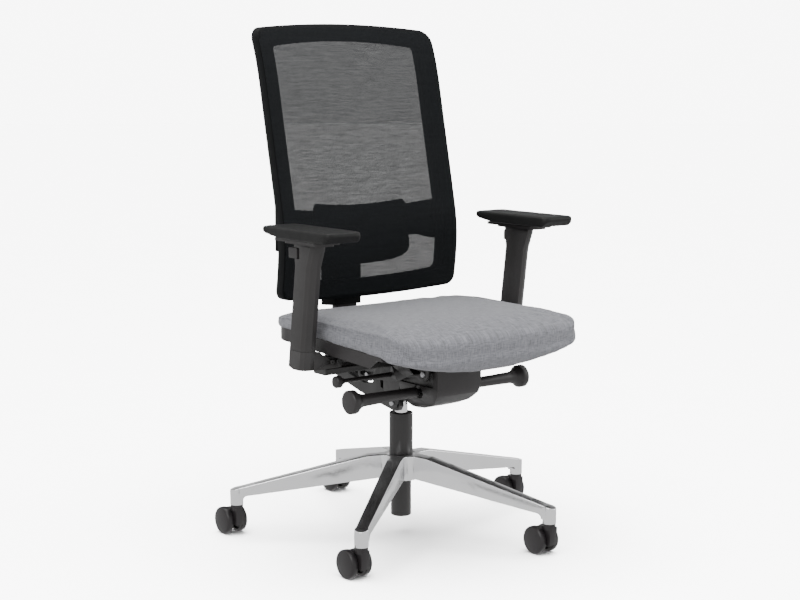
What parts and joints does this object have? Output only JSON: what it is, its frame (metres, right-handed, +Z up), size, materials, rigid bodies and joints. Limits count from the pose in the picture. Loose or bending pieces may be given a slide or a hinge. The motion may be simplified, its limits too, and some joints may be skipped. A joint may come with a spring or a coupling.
{
  "type": "office task chair",
  "caption": "Mesh-back swivel task chair: upholstered seat, adjustable T arms, synchro tilt, gas lift and polished star base on twin-wheel casters.",
  "frame": {"origin": "on the floor under the centre of the column", "axes": "+Z up, the sitter faces -Y, the sitter's right hand is towards -X"},
  "size_m": [0.6993, 0.734, 1.08],
  "materials": {
    "polished_aluminium": "polished die casting",
    "black_steel": "fine textured powder coat",
    "chrome": "bright",
    "bright_steel": "turned",
    "black_plastic": "fine grained polyamide",
    "arm_plastic": "fine grained polyamide, warm dark grey",
    "back_plastic": "fine grained polyamide",
    "wheel_plastic": "smooth moulded polyamide",
    "pad_rubber": "soft moulded polyurethane",
    "bush_plastic": "acetal",
    "net": "stretched open knit",
    "seat_fabric": "woven melange upholstery"
  },
  "bodies": {
    "base": {"base_star": "polished_aluminium", "column_tube": "black_steel", "guide_sleeve": "bush_plastic", "thrust_bearing": "bright_steel"},
    "lift_rod": {"piston_rod": "bright_steel"},
    "mechanism": {"gas_cylinder": "chrome", "mechanism_housing": "black_steel", "belly_cover": "black_plastic", "pivot_pins": "bright_steel", "front_axle": "bright_steel", "tension_spring": "black_steel"},
    "valve": {"release_button": "bright_steel"},
    "height_control": {"height_knob": "black_plastic", "height_shaft": "bright_steel"},
    "tension_control": {"tension_knob": "black_plastic", "tension_shaft": "bright_steel"},
    "tension_slider": {"tension_nut": "bright_steel"},
    "seat_tilt": {"seat_carrier": "black_steel", "arm_crossbar": "black_steel", "arm_bracket_right": "arm_plastic", "arm_bracket_left": "arm_plastic", "arm_screws": "black_steel"},
    "depth_control": {"depth_button": "black_plastic"},
    "seat": {"seat_pan": "black_plastic", "slide_rails": "black_plastic", "seat_cushion": "seat_fabric"},
    "back_support": {"back_carrier": "black_steel", "link_pins": "bright_steel"},
    "backrest": {"back_frame": "back_plastic", "back_net": "net", "back_yoke": "back_plastic"},
    "lumbar": {"lumbar_pad": "back_plastic"},
    "arm_post_right": {"arm_sleeve_right": "arm_plastic"},
    "arm_release_right": {"arm_button_right": "black_plastic"},
    "pad_turn_right": {"pad_base_right": "black_plastic"},
    "pad_right": {"arm_pad_right": "pad_rubber"},
    "arm_post_left": {"arm_sleeve_left": "arm_plastic"},
    "arm_release_left": {"arm_button_left": "black_plastic"},
    "pad_turn_left": {"pad_base_left": "black_plastic"},
    "pad_left": {"arm_pad_left": "pad_rubber"},
    "caster_1": {"caster_1_hood": "wheel_plastic", "caster_1_pins": "bright_steel"},
    "caster_1_left": {"caster_1_wheel_left": "wheel_plastic"},
    "caster_1_right": {"caster_1_wheel_right": "wheel_plastic"},
    "caster_2": {"caster_2_hood": "wheel_plastic", "caster_2_pins": "bright_steel"},
    "caster_2_left": {"caster_2_wheel_left": "wheel_plastic"},
    "caster_2_right": {"caster_2_wheel_right": "wheel_plastic"},
    "caster_3": {"caster_3_hood": "wheel_plastic", "caster_3_pins": "bright_steel"},
    "caster_3_left": {"caster_3_wheel_left": "wheel_plastic"},
    "caster_3_right": {"caster_3_wheel_right": "wheel_plastic"},
    "caster_4": {"caster_4_hood": "wheel_plastic", "caster_4_pins": "bright_steel"},
    "caster_4_left": {"caster_4_wheel_left": "wheel_plastic"},
    "caster_4_right": {"caster_4_wheel_right": "wheel_plastic"},
    "caster_5": {"caster_5_hood": "wheel_plastic", "caster_5_pins": "bright_steel"},
    "caster_5_left": {"caster_5_wheel_left": "wheel_plastic"},
    "caster_5_right": {"caster_5_wheel_right": "wheel_plastic"}
  },
  "joints": [
    {"name": "seat_swivel", "type": "hinge", "parent": "base", "child": "lift_rod", "pos_m": [0, 0, 0.04], "axis": [0, 0, 1], "continuous": true},
    {"name": "seat_height", "type": "slide", "parent": "lift_rod", "child": "mechanism", "axis": [0, 0, 1], "range_m": [0, 0.1]},
    {"name": "valve_press", "type": "slide", "parent": "mechanism", "child": "valve", "axis": [0, 0, -1], "range_m": [0, 0.003]},
    {"name": "height_lever", "type": "hinge", "parent": "mechanism", "child": "height_control", "pos_m": [-0.1, -0.1265, 0.33], "axis": [1, 0, 0], "range_deg": [0, 25], "stiffness_Nm_per_rad": 0.4},
    {"name": "tension_turn", "type": "hinge", "parent": "mechanism", "child": "tension_control", "pos_m": [0.1, -0.1265, 0.33], "axis": [1, 0, 0], "range_deg": [0, 1080]},
    {"name": "tension_travel", "type": "slide", "parent": "mechanism", "child": "tension_slider", "axis": [-1, 0, 0], "range_m": [0, 0.006]},
    {"name": "back_recline", "type": "hinge", "parent": "mechanism", "child": "back_support", "pos_m": [0, -0.038, 0.292], "axis": [-1, 0, 0], "range_deg": [0, 20], "stiffness_Nm_per_rad": 60, "springref_deg": -20.05},
    {"name": "seat_tilt", "type": "hinge", "parent": "mechanism", "child": "seat_tilt", "pos_m": [0, -0.16, 0.372], "axis": [-1, 0, 0], "range_deg": [0, 8]},
    {"name": "depth_press", "type": "slide", "parent": "seat_tilt", "child": "depth_control", "axis": [1, 0, 0], "range_m": [0, 0.006], "stiffness_N_per_m": 300},
    {"name": "seat_depth", "type": "slide", "parent": "seat_tilt", "child": "seat", "axis": [0, -1, 0], "range_m": [0, 0.05]},
    {"name": "back_height", "type": "slide", "parent": "back_support", "child": "backrest", "axis": [0, 0, 1], "range_m": [0, 0.05]},
    {"name": "lumbar_height", "type": "slide", "parent": "backrest", "child": "lumbar", "axis": [0, 0, 1], "range_m": [-0.02, 0.02]},
    {"name": "arm_height_right", "type": "slide", "parent": "seat_tilt", "child": "arm_post_right", "axis": [0, -0.1289, 0.9917], "range_m": [0, 0.09]},
    {"name": "arm_button_right", "type": "slide", "parent": "arm_post_right", "child": "arm_release_right", "axis": [0, -1, 0], "range_m": [0, 0.004], "stiffness_N_per_m": 300},
    {"name": "pad_swivel_right", "type": "hinge", "parent": "arm_post_right", "child": "pad_turn_right", "pos_m": [-0.2812, -0.062, 0.642], "axis": [0, 0, 1], "range_deg": [-20, 20]},
    {"name": "pad_slide_right", "type": "slide", "parent": "pad_turn_right", "child": "pad_right", "axis": [0, -1, 0], "range_m": [-0.025, 0.025]},
    {"name": "arm_height_left", "type": "slide", "parent": "seat_tilt", "child": "arm_post_left", "axis": [0, -0.1289, 0.9917], "range_m": [0, 0.09]},
    {"name": "arm_button_left", "type": "slide", "parent": "arm_post_left", "child": "arm_release_left", "axis": [0, -1, 0], "range_m": [0, 0.004], "stiffness_N_per_m": 300},
    {"name": "pad_swivel_left", "type": "hinge", "parent": "arm_post_left", "child": "pad_turn_left", "pos_m": [0.2812, -0.062, 0.642], "axis": [0, 0, 1], "range_deg": [-20, 20]},
    {"name": "pad_slide_left", "type": "slide", "parent": "pad_turn_left", "child": "pad_left", "axis": [0, -1, 0], "range_m": [-0.025, 0.025]},
    {"name": "caster_1_swivel", "type": "hinge", "parent": "base", "child": "caster_1", "pos_m": [0.12636, -0.32747, 0.05], "axis": [0, 0, 1], "continuous": true},
    {"name": "caster_1_roll_left", "type": "hinge", "parent": "caster_1", "child": "caster_1_left", "pos_m": [0.12636, -0.30317, 0.029], "axis": [1, 0, 0], "continuous": true},
    {"name": "caster_1_roll_right", "type": "hinge", "parent": "caster_1", "child": "caster_1_right", "pos_m": [0.12636, -0.30317, 0.029], "axis": [1, 0, 0], "continuous": true},
    {"name": "caster_2_swivel", "type": "hinge", "parent": "base", "child": "caster_2", "pos_m": [0.35049, 0.01898, 0.05], "axis": [0, 0, 1], "continuous": true},
    {"name": "caster_2_roll_left", "type": "hinge", "parent": "caster_2", "child": "caster_2_left", "pos_m": [0.35049, 0.04328, 0.029], "axis": [1, 0, 0], "continuous": true},
    {"name": "caster_2_roll_right", "type": "hinge", "parent": "caster_2", "child": "caster_2_right", "pos_m": [0.35049, 0.04328, 0.029], "axis": [1, 0, 0], "continuous": true},
    {"name": "caster_3_swivel", "type": "hinge", "parent": "base", "child": "caster_3", "pos_m": [0.09025, 0.3392, 0.05], "axis": [0, 0, 1], "continuous": true},
    {"name": "caster_3_roll_left", "type": "hinge", "parent": "caster_3", "child": "caster_3_left", "pos_m": [0.09025, 0.3635, 0.029], "axis": [1, 0, 0], "continuous": true},
    {"name": "caster_3_roll_right", "type": "hinge", "parent": "caster_3", "child": "caster_3_right", "pos_m": [0.09025, 0.3635, 0.029], "axis": [1, 0, 0], "continuous": true},
    {"name": "caster_4_swivel", "type": "hinge", "parent": "base", "child": "caster_4", "pos_m": [-0.29471, 0.19065, 0.05], "axis": [0, 0, 1], "continuous": true},
    {"name": "caster_4_roll_left", "type": "hinge", "parent": "caster_4", "child": "caster_4_left", "pos_m": [-0.29471, 0.21495, 0.029], "axis": [1, 0, 0], "continuous": true},
    {"name": "caster_4_roll_right", "type": "hinge", "parent": "caster_4", "child": "caster_4_right", "pos_m": [-0.29471, 0.21495, 0.029], "axis": [1, 0, 0], "continuous": true},
    {"name": "caster_5_swivel", "type": "hinge", "parent": "base", "child": "caster_5", "pos_m": [-0.27239, -0.22137, 0.05], "axis": [0, 0, 1], "continuous": true},
    {"name": "caster_5_roll_left", "type": "hinge", "parent": "caster_5", "child": "caster_5_left", "pos_m": [-0.27239, -0.19707, 0.029], "axis": [1, 0, 0], "continuous": true},
    {"name": "caster_5_roll_right", "type": "hinge", "parent": "caster_5", "child": "caster_5_right", "pos_m": [-0.27239, -0.19707, 0.029], "axis": [1, 0, 0], "continuous": true}
  ],
  "couplings": [
    {"joint": "valve_press", "follows": "height_lever", "m_per_rad": 0.006875},
    {"joint": "tension_travel", "follows": "tension_turn", "m_per_rad": 0.00031831},
    {"joint": "seat_tilt", "follows": "back_recline", "ratio": 0.39}
  ]
}
